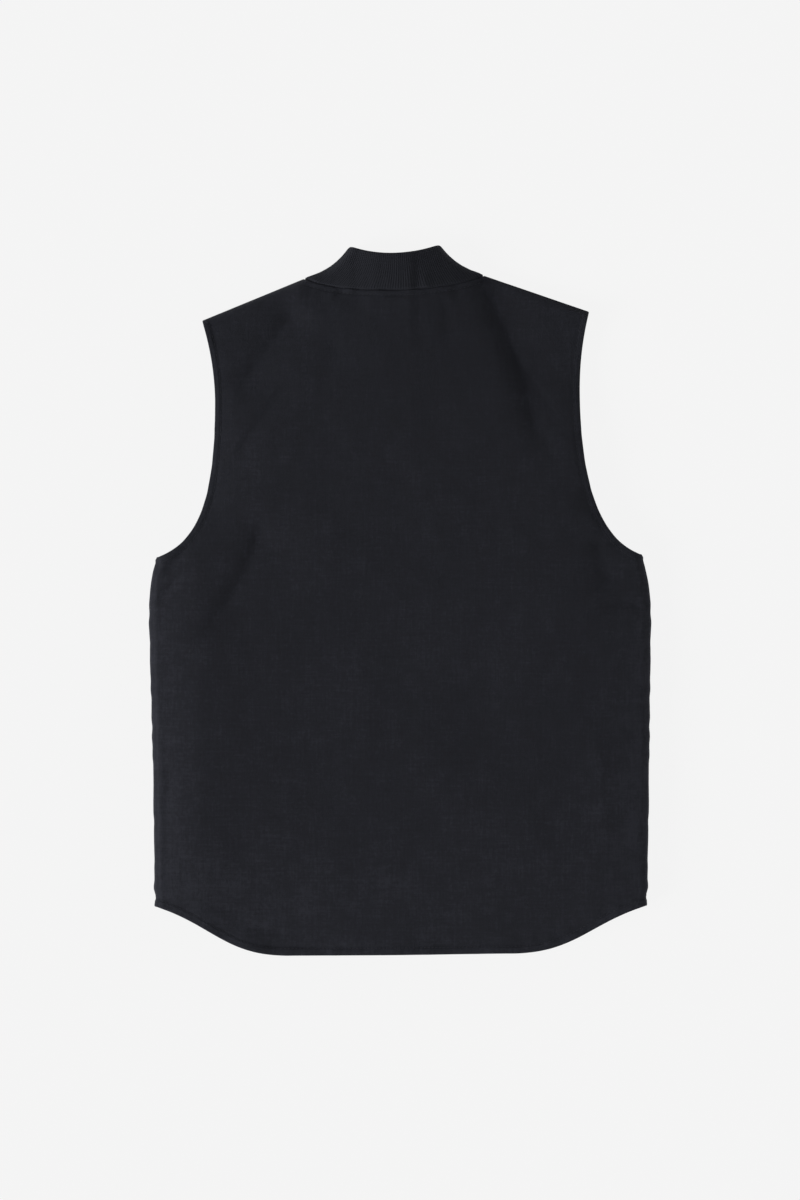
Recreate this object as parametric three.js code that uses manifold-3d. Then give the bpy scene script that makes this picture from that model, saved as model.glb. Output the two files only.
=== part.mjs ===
// A sleeveless canvas work vest with a rib-knit stand collar, lying flat on its front with its back up.
// Millimetres. Looking down on the back, +X is to the right, +Y towards the collar and +Z up.
// The origin is on the surface that the vest lies on, under the middle of its outline.
// Every wall is a sheet with a thickness: the outlines and heights below are those of its middle.

import * as THREE from "three";
import { mergeVertices } from "three/addons/utils/BufferGeometryUtils.js";
import Module from "manifold-3d";

const { clamp, degToRad, lerp, smoothstep } = THREE.MathUtils;

// Driving dimensions: cloth and seams
const CLOTH = 3; // canvas with its backing
const KNIT = 4; // doubled rib knit
const KNIT_EDGE = { from: 0.9, taper: 0.5 }; // how the collar thins towards its top edge
const SEWN_GAP = 0.3; // between pieces that are sewn together
const SEAM_Z = 10.5; // height of the side and shoulder seams above the floor
const FOLD_RADIUS = 9; // rounded fold of the cloth along those seams

// Driving dimensions: how the back lies over the front
const CROWN = 13; // rise of the middle of the back above its folded edges
const CROWN_REACH = 70; // distance in from an edge that takes most of the rise
const ARMHOLE_SAG = { depth: 7, reach: 30, fullFrom: 0.75, fullTo: 0.85 }; // free edges, by share of the side
const HEM_SAG = { depth: 8, reach: 60, fullFrom: 0.2 }; // free hem, by share of the width
const HEM_WAVE = { height: 2.5, count: 2.3, start: 0.15 }; // how the hem rises and falls along its length

// Driving dimensions: the hidden front
const CENTRE_FRONT_X = -3;
const FRONT_NECK_Y = 250; // bottom of the neckline
const FRONT_RIM_Y = 292; // top edge of the collar at the closure
const FRONT_ARMHOLE_SETBACK = 14; // how much deeper the armhole is cut than on the back
const FRONT_HEM_LIFT = 8; // how much shorter the front is than the back
const ZIP = { width: 9.4, tapeLow: 1.2, tapeHigh: 2.4, teethWidth: 5.2, teethLow: 0.6, teethHigh: 3.2 };
const SLIDER = { width: 8.6, length: 12, height: 4, belowTop: 6 };
const PULL = { width: 4, length: 30, height: 1 };

// How far the folded edge reaches from the middle at each height. Above the underarm it is the line that
// the fold would follow if the armhole were closed.
const SIDES = [
  { y: -325, left: 258.2, right: 260.3 }, // hem corner
  { y: -190, left: 260.4, right: 262.7 }, // hip
  { y: -60, left: 263.4, right: 263.9 }, // waist
  { y: -15, left: 264.5, right: 264.5 }, // chest
  { y: 18, left: 262.8, right: 262.2 },
  { y: 43, left: 257.5, right: 256.5 }, // underarm
  { y: 170, left: 249, right: 246 },
  { y: 300, left: 224, right: 216 }, // shoulder
];

// Points of the back's outline at each side
const LEFT = {
  sign: -1,
  reach: smoothColumn(SIDES, "y", "left"),
  hemY: -325,
  hemLow: vec(-119, -376.5), // where the raised corner of the hem meets its level middle
  underarmY: 45,
  narrow: vec(-195.8, 206), // narrowest place, between the armholes
  tip: vec(-209.4, 295), // outer end of the shoulder
  neck: vec(-101.2, 339.5), // inner end of the shoulder, where the collar starts
  flareWidth: 49.7, // how far in from the neck point the collar's top corner is
};
const RIGHT = {
  sign: 1,
  reach: smoothColumn(SIDES, "y", "right"),
  hemY: -324,
  hemLow: vec(119, -374),
  underarmY: 48,
  narrow: vec(190.6, 222),
  tip: vec(200.3, 304.6),
  neck: vec(88.5, 343.3),
  flareWidth: 48.2,
};
const EDGES = [LEFT, RIGHT];
const BACK_WIDTH = LEFT.reach(0) + RIGHT.reach(0);
const BACK_LENGTH = LEFT.neck.y - LEFT.hemLow.y;

// Shape of the curves between those points
const HEM_HANDLES = { low: 66, corner: vec(59, -17) };
const ARMHOLE_HANDLES = { underarm: vec(43, 15), narrow: 102, upper: 44 };
const NECK_HANDLES = { left: vec(-62, 322.5), right: vec(45, 322.5) };
const COLLAR_DIP = vec(-8, 361.3); // pulls down the middle of the collar's top edge
const FLARE = { slope: 0.324, bend: 0.000151 }; // the collar's folded sides, y over x from the neck point
const FRONT_NECK_HANDLES = { side: vec(5, -64), middle: 52 };
const FRONT_RIM_HANDLES = { side: vec(0, -63), middle: 34 };

// Folds of the back: the line of each valley, its depth, and the width of its slope to either side
const FOLDS = [
  { name: "right shoulder", from: vec(95, 352), to: vec(174, 150), depth: 5.5, left: 20, right: 25 },
  { name: "left shoulder", from: vec(-100, 318), to: vec(-180, 205), depth: 3.5, left: 18, right: 26 },
  { name: "left underarm", from: vec(-124, 78), to: vec(-205, -62), depth: 4.5, left: 15, right: 26 },
  { name: "right underarm", from: vec(193, 78), to: vec(273, -18), depth: 3, left: 13, right: 22 },
];
const FOLD_FADE = { start: 0.25, end: 0.45 }; // shares of a fold's length over which it comes and goes

// Grid of the walls
const NORMAL_STEP = 1e-5; // share over which a wall's slope is taken
const PULL_POWER = 3; // how quickly a panel's sides stop shaping the rows between them
const ROLL_ANGLES = [0, 22.5, 45, 67.5];
const UNDERARM_SHARE = 0.56; // share of a panel's side that is below the armhole
const NARROW_SHARE = 0.65; // share of an armhole that is below its narrowest place
const BACK_NECK_SHARE = 0.27; // share of a panel's top that is shoulder, up to the neck point
const FRONT_NECK_SHARE = 0.52;
const SIDE_STEPS = 12;
const ARMHOLE_STEPS = 14;
const SHOULDER_STEPS = 6;
const COLLAR_STEPS = { fold: 4, front: 5, back: 9 };
const COLLAR_FOLD_SHARE = 0.13; // share of a collar section that is rounded at a fold
const COLLAR_LEVELS = [0, 0.25, 0.5, 0.75, 0.93, 1];

const CANVAS_COLOUR = 0x212227;
const KNIT_COLOUR = 0x222328;
const ZIP_COLOUR = 0x1b1b1d;

function vec(x, y) {
  return new THREE.Vector2(x, y);
}

// A table's column as a smooth function of another column
function smoothColumn(rows, at, column) {
  const places = rows.map((row) => row[at]);
  const values = rows.map((row) => row[column]);
  const curve = new THREE.CubicInterpolant(places, values, 1, new Float64Array(1));
  return (place) => curve.evaluate(place)[0];
}

// Curves are functions from a share, 0 to 1, to a point of the plan
function straight(from, to) {
  return (t) => from.clone().lerp(to, t);
}

function bent(from, handle, to) {
  const curve = new THREE.QuadraticBezierCurve(from, handle, to);
  return (t) => curve.getPoint(t);
}

function swept(from, fromHandle, toHandle, to) {
  const curve = new THREE.CubicBezierCurve(from, fromHandle, toHandle, to);
  return (t) => curve.getPoint(t);
}

function reversed(curve) {
  return (t) => curve(1 - t);
}

// Curves end to end: each link is the share at which it ends, and its curve
function chain(...links) {
  return (t) => {
    let from = 0;
    for (const [to, curve] of links) {
      if (t <= to || to === 1) return curve((t - from) / (to - from));
      from = to;
    }
  };
}

// A plan surface between four curves, which share their corners: straight from the bottom to the top, and
// pulled out to the left and right curves near those
function patch(bottom, top, left, right) {
  const between = (u, v) => bottom(u).lerp(top(u), v);
  const pull = (curve, u, v) => curve(v).sub(between(u, v));
  return (u, v) =>
    between(u, v)
      .addScaledVector(pull(left, 0, v), (1 - u) ** PULL_POWER)
      .addScaledVector(pull(right, 1, v), u ** PULL_POWER);
}

// A point moved by an offset that is mirrored for the left side
function offset(edge, point, step) {
  return vec(point.x - edge.sign * step.x, point.y + step.y);
}

// Curves of the outline
function sidePoint(edge, y) {
  return vec(edge.sign * edge.reach(y), y);
}

function sideSeam(edge) {
  return (t) => sidePoint(edge, lerp(edge.hemY, edge.underarmY, t));
}

function armhole(edge, setback) {
  const underarm = sidePoint(edge, edge.underarmY);
  const narrow = offset(edge, edge.narrow, vec(setback, 0));
  const lowerHandle = offset(edge, underarm, ARMHOLE_HANDLES.underarm);
  const narrowHandle = offset(edge, narrow, vec(0, -ARMHOLE_HANDLES.narrow));
  const upperHandle = offset(edge, narrow, vec(0, ARMHOLE_HANDLES.upper));
  const lower = swept(underarm, lowerHandle, narrowHandle, narrow);
  return chain([NARROW_SHARE, lower], [1, bent(narrow, upperHandle, edge.tip)]);
}

function hemCorner(edge) {
  const corner = sidePoint(edge, edge.hemY);
  const cornerHandle = offset(edge, corner, HEM_HANDLES.corner);
  const lowHandle = offset(edge, edge.hemLow, vec(-HEM_HANDLES.low, 0));
  return swept(corner, cornerHandle, lowHandle, edge.hemLow);
}

function shoulder(edge) {
  return straight(edge.tip, edge.neck);
}

function flareHeight(inward) {
  return FLARE.slope * inward + FLARE.bend * inward ** 3;
}

function collarFold(edge) {
  return (t) => offset(edge, edge.neck, vec(t * edge.flareWidth, flareHeight(t * edge.flareWidth)));
}

function frontEdge(edge, y) {
  return vec(CENTRE_FRONT_X + edge.sign * (ZIP.width / 2 + SEWN_GAP), y);
}

function backNeck() {
  return swept(LEFT.neck, NECK_HANDLES.left, NECK_HANDLES.right, RIGHT.neck);
}

// From the neck point to the closure, along the front neckline and along the collar's top edge
function frontNeck(edge) {
  const sideHandle = offset(edge, edge.neck, FRONT_NECK_HANDLES.side);
  const end = frontEdge(edge, FRONT_NECK_Y);
  return swept(edge.neck, sideHandle, offset(edge, end, vec(-FRONT_NECK_HANDLES.middle, 0)), end);
}

function frontRim(edge) {
  const corner = collarFold(edge)(1);
  const sideHandle = offset(edge, corner, FRONT_RIM_HANDLES.side);
  const end = frontEdge(edge, FRONT_RIM_Y);
  return swept(corner, sideHandle, offset(edge, end, vec(-FRONT_RIM_HANDLES.middle, 0)), end);
}

// Distances in from the folded edges of the flattened vest
function sideDistance(edge, x, y) {
  return edge.reach(y) - edge.sign * x;
}

function topDistance(edge, x, y) {
  const inward = edge.sign * (edge.neck.x - x);
  const shoulderSlope = (edge.neck.y - edge.tip.y) / Math.abs(edge.neck.x - edge.tip.x);
  const rise = inward < 0 ? shoulderSlope * inward : flareHeight(inward);
  return (edge.neck.y + rise - y) / Math.hypot(1, shoulderSlope);
}

function overEdges(x, y, profile) {
  let product = 1;
  for (const edge of EDGES) {
    product *= profile(sideDistance(edge, x, y)) * profile(topDistance(edge, x, y));
  }
  return product;
}

function roll(distance) {
  return Math.sqrt(1 - (1 - clamp(distance / FOLD_RADIUS, 0, 1)) ** 2);
}

function swell(distance) {
  return 1 - Math.exp(-Math.max(distance, 0) / CROWN_REACH);
}

function foldDepth(x, y) {
  let depth = 0;
  for (const fold of FOLDS) {
    const run = fold.to.clone().sub(fold.from);
    const here = vec(x, y).sub(fold.from);
    const along = here.dot(run) / run.lengthSq();
    const across = run.cross(here) / run.length();
    const width = across > 0 ? fold.right : fold.left;
    const fade = smoothstep(along, 0, FOLD_FADE.start) * smoothstep(1 - along, 0, FOLD_FADE.end);
    depth += fold.depth * fade * Math.exp(-((across / width) ** 2));
  }
  return depth;
}

function backHeight(x, y) {
  const edge = SEAM_Z + SEWN_GAP / 2;
  return edge + overEdges(x, y, roll) * (FOLD_RADIUS - foldDepth(x, y)) + CROWN * overEdges(x, y, swell);
}

function frontHeight(x, y, thickness) {
  return lerp(SEAM_Z - SEWN_GAP / 2, thickness / 2, overEdges(x, y, roll));
}

// How far the free edges of the back sink, u across from side to side and v up from the hem
function armholeSag(u, v) {
  const { depth, reach, fullFrom, fullTo } = ARMHOLE_SAG;
  const byArmhole = smoothstep(v, UNDERARM_SHARE, fullFrom) * smoothstep(1 - v, 0, 1 - fullTo);
  const inLeft = Math.exp((-u * BACK_WIDTH) / reach);
  const inRight = Math.exp(((u - 1) * BACK_WIDTH) / reach);
  return depth * byArmhole * (inLeft + inRight);
}

function hemSag(u, v) {
  const { depth, reach, fullFrom } = HEM_SAG;
  const fromSides = smoothstep(Math.min(u, 1 - u), 0, fullFrom);
  const wave = HEM_WAVE.height * Math.sin(2 * Math.PI * (HEM_WAVE.count * u + HEM_WAVE.start));
  return (depth - wave) * fromSides * Math.exp((-v * BACK_LENGTH) / reach);
}

// A wall: a surface from shares u and v to a point in space, given a thickness
function normalAt(surface, u, v) {
  const step = NORMAL_STEP;
  const alongU = surface(Math.min(u + step, 1), v).sub(surface(Math.max(u - step, 0), v));
  const alongV = surface(u, Math.min(v + step, 1)).sub(surface(u, Math.max(v - step, 0)));
  return alongU.cross(alongV).normalize();
}

function wallGeometry(surface, us, vs, thickness) {
  const positions = [];
  for (const side of [0.5, -0.5]) {
    for (const v of vs) {
      for (const u of us) {
        const lift = side * thickness(v);
        positions.push(...surface(u, v).addScaledVector(normalAt(surface, u, v), lift));
      }
    }
  }
  const index = [];
  const at = (layer, i, j) => (layer * vs.length + j) * us.length + i;
  const quad = (a, b, c, d) => index.push(a, b, c, a, c, d);
  const lastU = us.length - 1;
  const lastV = vs.length - 1;
  for (let i = 0; i < lastU; i += 1) {
    for (let j = 0; j < lastV; j += 1) {
      quad(at(0, i, j), at(0, i + 1, j), at(0, i + 1, j + 1), at(0, i, j + 1));
      quad(at(1, i, j), at(1, i, j + 1), at(1, i + 1, j + 1), at(1, i + 1, j));
    }
    quad(at(1, i, 0), at(1, i + 1, 0), at(0, i + 1, 0), at(0, i, 0));
    quad(at(0, i, lastV), at(0, i + 1, lastV), at(1, i + 1, lastV), at(1, i, lastV));
  }
  for (let j = 0; j < lastV; j += 1) {
    quad(at(0, 0, j), at(0, 0, j + 1), at(1, 0, j + 1), at(1, 0, j));
    quad(at(1, lastU, j), at(1, lastU, j + 1), at(0, lastU, j + 1), at(0, lastU, j));
  }
  const geometry = new THREE.BufferGeometry();
  geometry.setAttribute("position", new THREE.Float32BufferAttribute(positions, 3));
  geometry.setIndex(index);
  geometry.computeVertexNormals();
  return geometry;
}

// Lists of shares for the grids
function evenShares(from, to, steps) {
  return Array.from({ length: steps + 1 }, (_, k) => lerp(from, to, k / steps));
}

// Shares that round the fold along an edge, from the edge inwards, on a wall of this span
function rollShares(span) {
  return ROLL_ANGLES.map((angle) => (FOLD_RADIUS * (1 - Math.cos(degToRad(angle)))) / span);
}

function mirrored(shares) {
  return shares.map((share) => 1 - share).reverse();
}

function spread(shares, from, to) {
  return shares.map((share) => lerp(from, to, share));
}

// Shares along the neckline, which the collar and the panels have in common: from fold to fold at the
// back, and from the closure to the fold at the front
const IN_FOLD = evenShares(0, 1, COLLAR_STEPS.fold).map((share) => COLLAR_FOLD_SHARE * share ** 2);
const PAST_FOLD = 1 - COLLAR_FOLD_SHARE;
const BACK_NECK = [
  ...IN_FOLD,
  ...evenShares(COLLAR_FOLD_SHARE, PAST_FOLD, COLLAR_STEPS.back).slice(1, -1),
  ...mirrored(IN_FOLD),
];
const FRONT_NECK = [...evenShares(0, PAST_FOLD, COLLAR_STEPS.front), ...mirrored(IN_FOLD).slice(1)];

function panelRows(length) {
  const top = mirrored(rollShares(length));
  const lower = evenShares(0, UNDERARM_SHARE, SIDE_STEPS);
  const upper = evenShares(UNDERARM_SHARE, 1 - FOLD_RADIUS / length, ARMHOLE_STEPS);
  return [...lower, ...upper.slice(1), ...top];
}

// Back panel
function backPanel() {
  const leftHem = hemCorner(LEFT);
  const rightHem = reversed(hemCorner(RIGHT));
  const leftNeck = BACK_NECK_SHARE;
  const rightNeck = 1 - BACK_NECK_SHARE;
  const middle = straight(LEFT.hemLow, RIGHT.hemLow);
  const hem = chain([leftNeck, leftHem], [rightNeck, middle], [1, rightHem]);
  const top = chain([leftNeck, shoulder(LEFT)], [rightNeck, backNeck()], [1, reversed(shoulder(RIGHT))]);
  const left = chain([UNDERARM_SHARE, sideSeam(LEFT)], [1, armhole(LEFT, 0)]);
  const right = chain([UNDERARM_SHARE, sideSeam(RIGHT)], [1, armhole(RIGHT, 0)]);
  const plan = patch(hem, top, left, right);
  const surface = (u, v) => {
    const { x, y } = plan(u, v);
    return new THREE.Vector3(x, y, backHeight(x, y) - armholeSag(u, v) - hemSag(u, v));
  };
  const side = rollShares(BACK_WIDTH);
  const sideEnd = FOLD_RADIUS / BACK_WIDTH;
  const columns = [
    ...side,
    ...evenShares(sideEnd, leftNeck, SHOULDER_STEPS),
    ...spread(BACK_NECK, leftNeck, rightNeck).slice(1),
    ...evenShares(rightNeck, 1 - sideEnd, SHOULDER_STEPS).slice(1),
    ...mirrored(side),
  ];
  return wallGeometry(surface, columns, panelRows(BACK_LENGTH), () => CLOTH);
}

// Front panels: u runs from the side to the closure on the left, and the other way on the right
function frontPanel(edge) {
  const hemEnd = frontEdge(edge, lerp(LEFT.hemLow.y, RIGHT.hemLow.y, 0.5));
  const fullHem = chain([FRONT_NECK_SHARE, hemCorner(edge)], [1, straight(edge.hemLow, hemEnd)]);
  const hem = (t) => fullHem(t).add(vec(0, FRONT_HEM_LIFT * smoothstep(t, 0, FRONT_NECK_SHARE)));
  const top = chain([FRONT_NECK_SHARE, shoulder(edge)], [1, frontNeck(edge)]);
  const side = chain([UNDERARM_SHARE, sideSeam(edge)], [1, armhole(edge, FRONT_ARMHOLE_SETBACK)]);
  const closure = straight(hem(1), top(1));
  const plan = patch(hem, top, side, closure);
  const leftward = edge.sign > 0;
  const surface = (u, v) => {
    const { x, y } = plan(leftward ? 1 - u : u, v);
    return new THREE.Vector3(x, y, frontHeight(x, y, CLOTH));
  };
  const width = edge.reach(0);
  const fromSide = [
    ...rollShares(width),
    ...evenShares(FOLD_RADIUS / width, FRONT_NECK_SHARE, SHOULDER_STEPS),
    ...spread(mirrored(FRONT_NECK), FRONT_NECK_SHARE, 1).slice(1),
  ];
  const columns = leftward ? mirrored(fromSide) : fromSide;
  return wallGeometry(surface, columns, panelRows(BACK_LENGTH), () => CLOTH);
}

// Collar: u runs round the neck from the closure, over the left fold, the back and the right fold.
// Each of its three sections is a patch from the neckline, v = 0, to the top edge, v = 1.
function ribCollar() {
  const rim = bent(collarFold(LEFT)(1), COLLAR_DIP, collarFold(RIGHT)(1));
  const back = patch(backNeck(), rim, collarFold(LEFT), collarFold(RIGHT));
  const closure = (edge) => straight(frontEdge(edge, FRONT_NECK_Y), frontEdge(edge, FRONT_RIM_Y));
  const left = patch(reversed(frontNeck(LEFT)), reversed(frontRim(LEFT)), closure(LEFT), collarFold(LEFT));
  const right = patch(frontNeck(RIGHT), frontRim(RIGHT), collarFold(RIGHT), closure(RIGHT));
  const sections = [left, back, right];
  const start = (2 * SEWN_GAP) / (FRONT_RIM_Y - FRONT_NECK_Y);
  const surface = (u, v) => {
    const section = clamp(Math.floor(u * sections.length), 0, sections.length - 1);
    const { x, y } = sections[section](u * sections.length - section, lerp(start, 1, v));
    return new THREE.Vector3(x, y, section === 1 ? backHeight(x, y) : frontHeight(x, y, KNIT));
  };
  const places = [FRONT_NECK, BACK_NECK.slice(1), mirrored(FRONT_NECK).slice(1)];
  const columns = places.flatMap((shares, k) => shares.map((share) => (k + share) / sections.length));
  const thickness = (v) => KNIT * (1 - KNIT_EDGE.taper * smoothstep(v, KNIT_EDGE.from, 1));
  return wallGeometry(surface, columns, COLLAR_LEVELS, thickness);
}

// Front zip: a tape with its row of teeth, the slider and its pull, as one piece
function zipChain(from, to) {
  const half = ZIP.width / 2;
  const halfTeeth = ZIP.teethWidth / 2;
  const section = new THREE.Shape([
    vec(-half, ZIP.tapeLow),
    vec(-halfTeeth, ZIP.tapeLow),
    vec(-halfTeeth, ZIP.teethLow),
    vec(halfTeeth, ZIP.teethLow),
    vec(halfTeeth, ZIP.tapeLow),
    vec(half, ZIP.tapeLow),
    vec(half, ZIP.tapeHigh),
    vec(halfTeeth, ZIP.tapeHigh),
    vec(halfTeeth, ZIP.teethHigh),
    vec(-halfTeeth, ZIP.teethHigh),
    vec(-halfTeeth, ZIP.tapeHigh),
    vec(-half, ZIP.tapeHigh),
  ]);
  const bar = new THREE.ExtrudeGeometry(section, { depth: to - from, bevelEnabled: false });
  return bar.rotateX(Math.PI / 2).translate(CENTRE_FRONT_X, to, 0);
}

function block(size, top) {
  const box = new THREE.BoxGeometry(size.width, size.length, size.height);
  return box.translate(CENTRE_FRONT_X, top - size.length / 2, size.height / 2);
}

function asSolid(wasm, geometry) {
  const bare = geometry.clone();
  bare.deleteAttribute("normal");
  bare.deleteAttribute("uv");
  const merged = mergeVertices(bare);
  const vertProperties = new Float32Array(merged.attributes.position.array);
  const triVerts = new Uint32Array(merged.index.array);
  return new wasm.Manifold(new wasm.Mesh({ numProp: 3, vertProperties, triVerts }));
}

function asGeometry(solid) {
  const { vertProperties, triVerts } = solid.getMesh();
  const geometry = new THREE.BufferGeometry();
  geometry.setAttribute("position", new THREE.BufferAttribute(vertProperties, 3));
  geometry.setIndex(new THREE.BufferAttribute(triVerts, 1));
  geometry.computeVertexNormals();
  return geometry;
}

async function frontZip() {
  const wasm = await Module();
  wasm.setup();
  const foot = lerp(LEFT.hemLow.y, RIGHT.hemLow.y, 0.5) + FRONT_HEM_LIFT;
  const sliderTop = FRONT_RIM_Y - SLIDER.belowTop;
  const pieces = [
    zipChain(foot, FRONT_RIM_Y),
    block(SLIDER, sliderTop),
    block(PULL, sliderTop - SLIDER.length / 2),
  ];
  const [chainSolid, sliderSolid, pullSolid] = pieces.map((piece) => asSolid(wasm, piece));
  return asGeometry(chainSolid.add(sliderSolid).add(pullSolid));
}

function namedMesh(name, geometry, colour) {
  const material = new THREE.MeshStandardMaterial({ color: colour, roughness: 0.92, metalness: 0 });
  const mesh = new THREE.Mesh(geometry, material);
  mesh.name = name;
  return mesh;
}

const vest = new THREE.Group();
vest.name = "work_vest";
vest.add(
  namedMesh("back_panel", backPanel(), CANVAS_COLOUR),
  namedMesh("front_panel_left", frontPanel(LEFT), CANVAS_COLOUR),
  namedMesh("front_panel_right", frontPanel(RIGHT), CANVAS_COLOUR),
  namedMesh("rib_collar", ribCollar(), KNIT_COLOUR),
  namedMesh("front_zip", await frontZip(), ZIP_COLOUR),
);

export default vest;
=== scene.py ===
# Looks of a canvas work vest that lies on its front: cloth with folds, seams, stitches and a rib-knit collar.
import math
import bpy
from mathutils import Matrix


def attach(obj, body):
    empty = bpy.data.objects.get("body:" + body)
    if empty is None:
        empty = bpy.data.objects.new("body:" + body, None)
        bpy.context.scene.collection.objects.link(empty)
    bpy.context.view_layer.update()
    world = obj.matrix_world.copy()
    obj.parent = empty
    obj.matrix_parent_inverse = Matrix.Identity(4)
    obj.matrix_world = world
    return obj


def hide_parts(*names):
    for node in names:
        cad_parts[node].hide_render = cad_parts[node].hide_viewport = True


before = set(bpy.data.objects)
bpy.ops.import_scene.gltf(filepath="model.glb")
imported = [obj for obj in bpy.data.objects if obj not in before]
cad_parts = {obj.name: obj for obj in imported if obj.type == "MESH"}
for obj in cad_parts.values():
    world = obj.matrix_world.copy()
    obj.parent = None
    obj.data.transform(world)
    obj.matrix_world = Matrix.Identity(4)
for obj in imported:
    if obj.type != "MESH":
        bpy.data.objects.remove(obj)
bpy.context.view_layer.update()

from types import SimpleNamespace

import bpy
import numpy as np
from mathutils import Vector
from mathutils.bvhtree import BVHTree

# Sizes are in millimetres until a mesh is made. +X is right, +Y towards the collar and +Z up.
METRE = 0.001

# Cloth and seams, as in the part
CLOTH = 3.0
KNIT = 4.0
SEWN_GAP = 0.3
SEAM_Z = 10.5
FOLD_RADIUS = 9.0

# How the back lies over the front, as in the part
CROWN = 13.0
CROWN_REACH = 70.0
ARMHOLE_SAG = SimpleNamespace(depth=7.0, reach=30.0, full_from=0.75, full_to=0.85)
HEM_SAG = SimpleNamespace(depth=8.0, reach=60.0, full_from=0.2)
HEM_WAVE = SimpleNamespace(height=2.5, count=2.3, start=0.15)

# The hidden front, as in the part
CENTRE_FRONT_X = -3.0
FRONT_NECK_Y = 250.0
FRONT_RIM_Y = 292.0
FRONT_ARMHOLE_SETBACK = 14.0
FRONT_HEM_LIFT = 8.0

# Zip under the front
ZIP = SimpleNamespace(
    width=9.4,
    tape_gap=1.0,
    tape_low=1.2,
    tape_high=2.4,
    tape_rings=60,
    teeth_width=5.2,
    teeth_low=0.6,
    teeth_high=3.2,
)
TOOTH = SimpleNamespace(half_width=1.5, pitch=1.5, clear=2.0, power=3.0, sides=10)
SLIDER = SimpleNamespace(width=8.6, length=12.0, height=4.0, below_top=6.0)
PULL = SimpleNamespace(width=4.0, length=30.0, height=1.0)

# Sections of a tooth, and of the slider and its pull by shares of their length: place along, share of the
# width, share of the height
TOOTH_SECTIONS = [(-0.62, 0.5, 0.7), (-0.5, 0.95, 0.95), (0.0, 1.0, 1.0), (0.5, 0.95, 0.95), (0.62, 0.5, 0.7)]
SLIDER_SECTIONS = [
    (0, 0.62, 0.55),
    (0.05, 0.72, 0.8),
    (0.2, 0.9, 0.97),
    (0.45, 1, 1),
    (0.7, 0.88, 1),
    (0.93, 0.7, 0.9),
    (1, 0.6, 0.6),
]
PULL_SECTIONS = [
    (0, 0.55, 0.5),
    (0.03, 0.7, 0.95),
    (0.15, 0.72, 1),
    (0.4, 0.8, 1),
    (0.75, 1, 1),
    (0.93, 0.9, 1),
    (0.985, 0.65, 0.9),
    (1, 0.4, 0.5),
]

# Reach of the folded edges from the middle, by place along the vest: y, left, right
SIDES = np.array(
    [
        (-325, 258.2, 260.3),
        (-190, 260.4, 262.7),
        (-60, 263.4, 263.9),
        (-15, 264.5, 264.5),
        (18, 262.8, 262.2),
        (43, 257.5, 256.5),
        (170, 249, 246),
        (300, 224, 216),
    ]
)

# Shares of the panels' sides and tops, as in the part
PULL_POWER = 3
UNDERARM_SHARE = 0.56
NARROW_SHARE = 0.65
BACK_NECK_SHARE = 0.27
FRONT_NECK_SHARE = 0.52

# Main folds of the back, sharper than in the part and with one more on the right: the line of each valley,
# how far it bows to the right, its depth, and how far its slopes reach to either side
FOLDS = [
    dict(start=(66, 372), end=(150, 140), bow=13, depth=8.8, left=13, right=75),
    dict(start=(128, 230), end=(190, 80), bow=0, depth=2.4, left=34, right=16),
    dict(start=(-103, 318), end=(-183, 205), bow=0, depth=6.0, left=15, right=36),
    dict(start=(-141, 95), end=(-226, -58), bow=12, depth=5.4, left=10.5, right=42),
    dict(start=(207, 72), end=(219, -8), bow=2, depth=2.8, left=11, right=24),
]
# Section of a fold: power of its slopes, bluntness of its valley, shares of its length where it fades
FOLD_SHAPE = SimpleNamespace(power=1.15, blunt=2.0, fade=(0.2, 0.4))

# Small creases: a negative depth is a ridge
CREASES = [
    dict(start=(-106, 242), end=(-182, 134), bow=-5, depth=1.2, left=4, right=9),
    dict(start=(-218, 64), end=(-252, 26), bow=0, depth=2.1, left=4.5, right=6),
    dict(start=(-231, 26), end=(-262, -6), bow=0, depth=2.0, left=4.5, right=6),
    dict(start=(206, -3), end=(268, -6), bow=0, depth=1.4, left=5, right=4),
    dict(start=(212, 24), end=(240, 21), bow=0, depth=0.9, left=4, right=5),
    dict(start=(224, 14), end=(240, -4), bow=0, depth=0.8, left=5, right=5),
    dict(start=(26, 402), end=(26, 332), bow=0, depth=0.9, left=4, right=7),
    dict(start=(46, 334), end=(54, 262), bow=0, depth=0.8, left=6, right=8),
    dict(start=(106, 282), end=(178, 182), bow=-3, depth=0.9, left=9, right=5),
    dict(start=(-180, -338), end=(-110, -354), bow=-2, depth=1.5, left=6, right=5),
    dict(start=(-122, -352), end=(-62, -359), bow=0, depth=0.9, left=5, right=4),
    dict(start=(-214, -318), end=(-160, -334), bow=0, depth=0.6, left=6, right=5),
    dict(start=(-165, -364), end=(-20, -369), bow=-1, depth=0.7, left=2, right=6),
    dict(start=(208, -126), end=(222, -300), bow=0, depth=-1.0, left=9, right=6),
    dict(start=(-246, -150), end=(-250, -320), bow=3, depth=0.8, left=5, right=6),
    dict(start=(-58, 318), end=(-84, 190), bow=-4, depth=0.6, left=7, right=9),
    dict(start=(-150, -60), end=(150, -66), bow=0, depth=-0.4, left=5, right=5),
]
CREASE_SHAPE = SimpleNamespace(power=2.0, blunt=0.0, fade=(0.3, 0.3))

# Unevenness of laid cloth: wavelength across and along, height, seed
WAVES = [
    dict(across=95, along=120, height=1.1, seed=11),
    dict(across=42, along=60, height=0.5, seed=12),
    dict(across=17, along=24, height=0.14, seed=13),
]

# Ridge along the left side, and the y between which it fades at its top and sinks at its foot
LEFT_PRESS = SimpleNamespace(
    ridge=48.0,
    height=5.3,
    fade=85.0,
    blend=8,
    top=(30, 90),
    foot=(-330, -250),
    foot_share=0.4,
)

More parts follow.
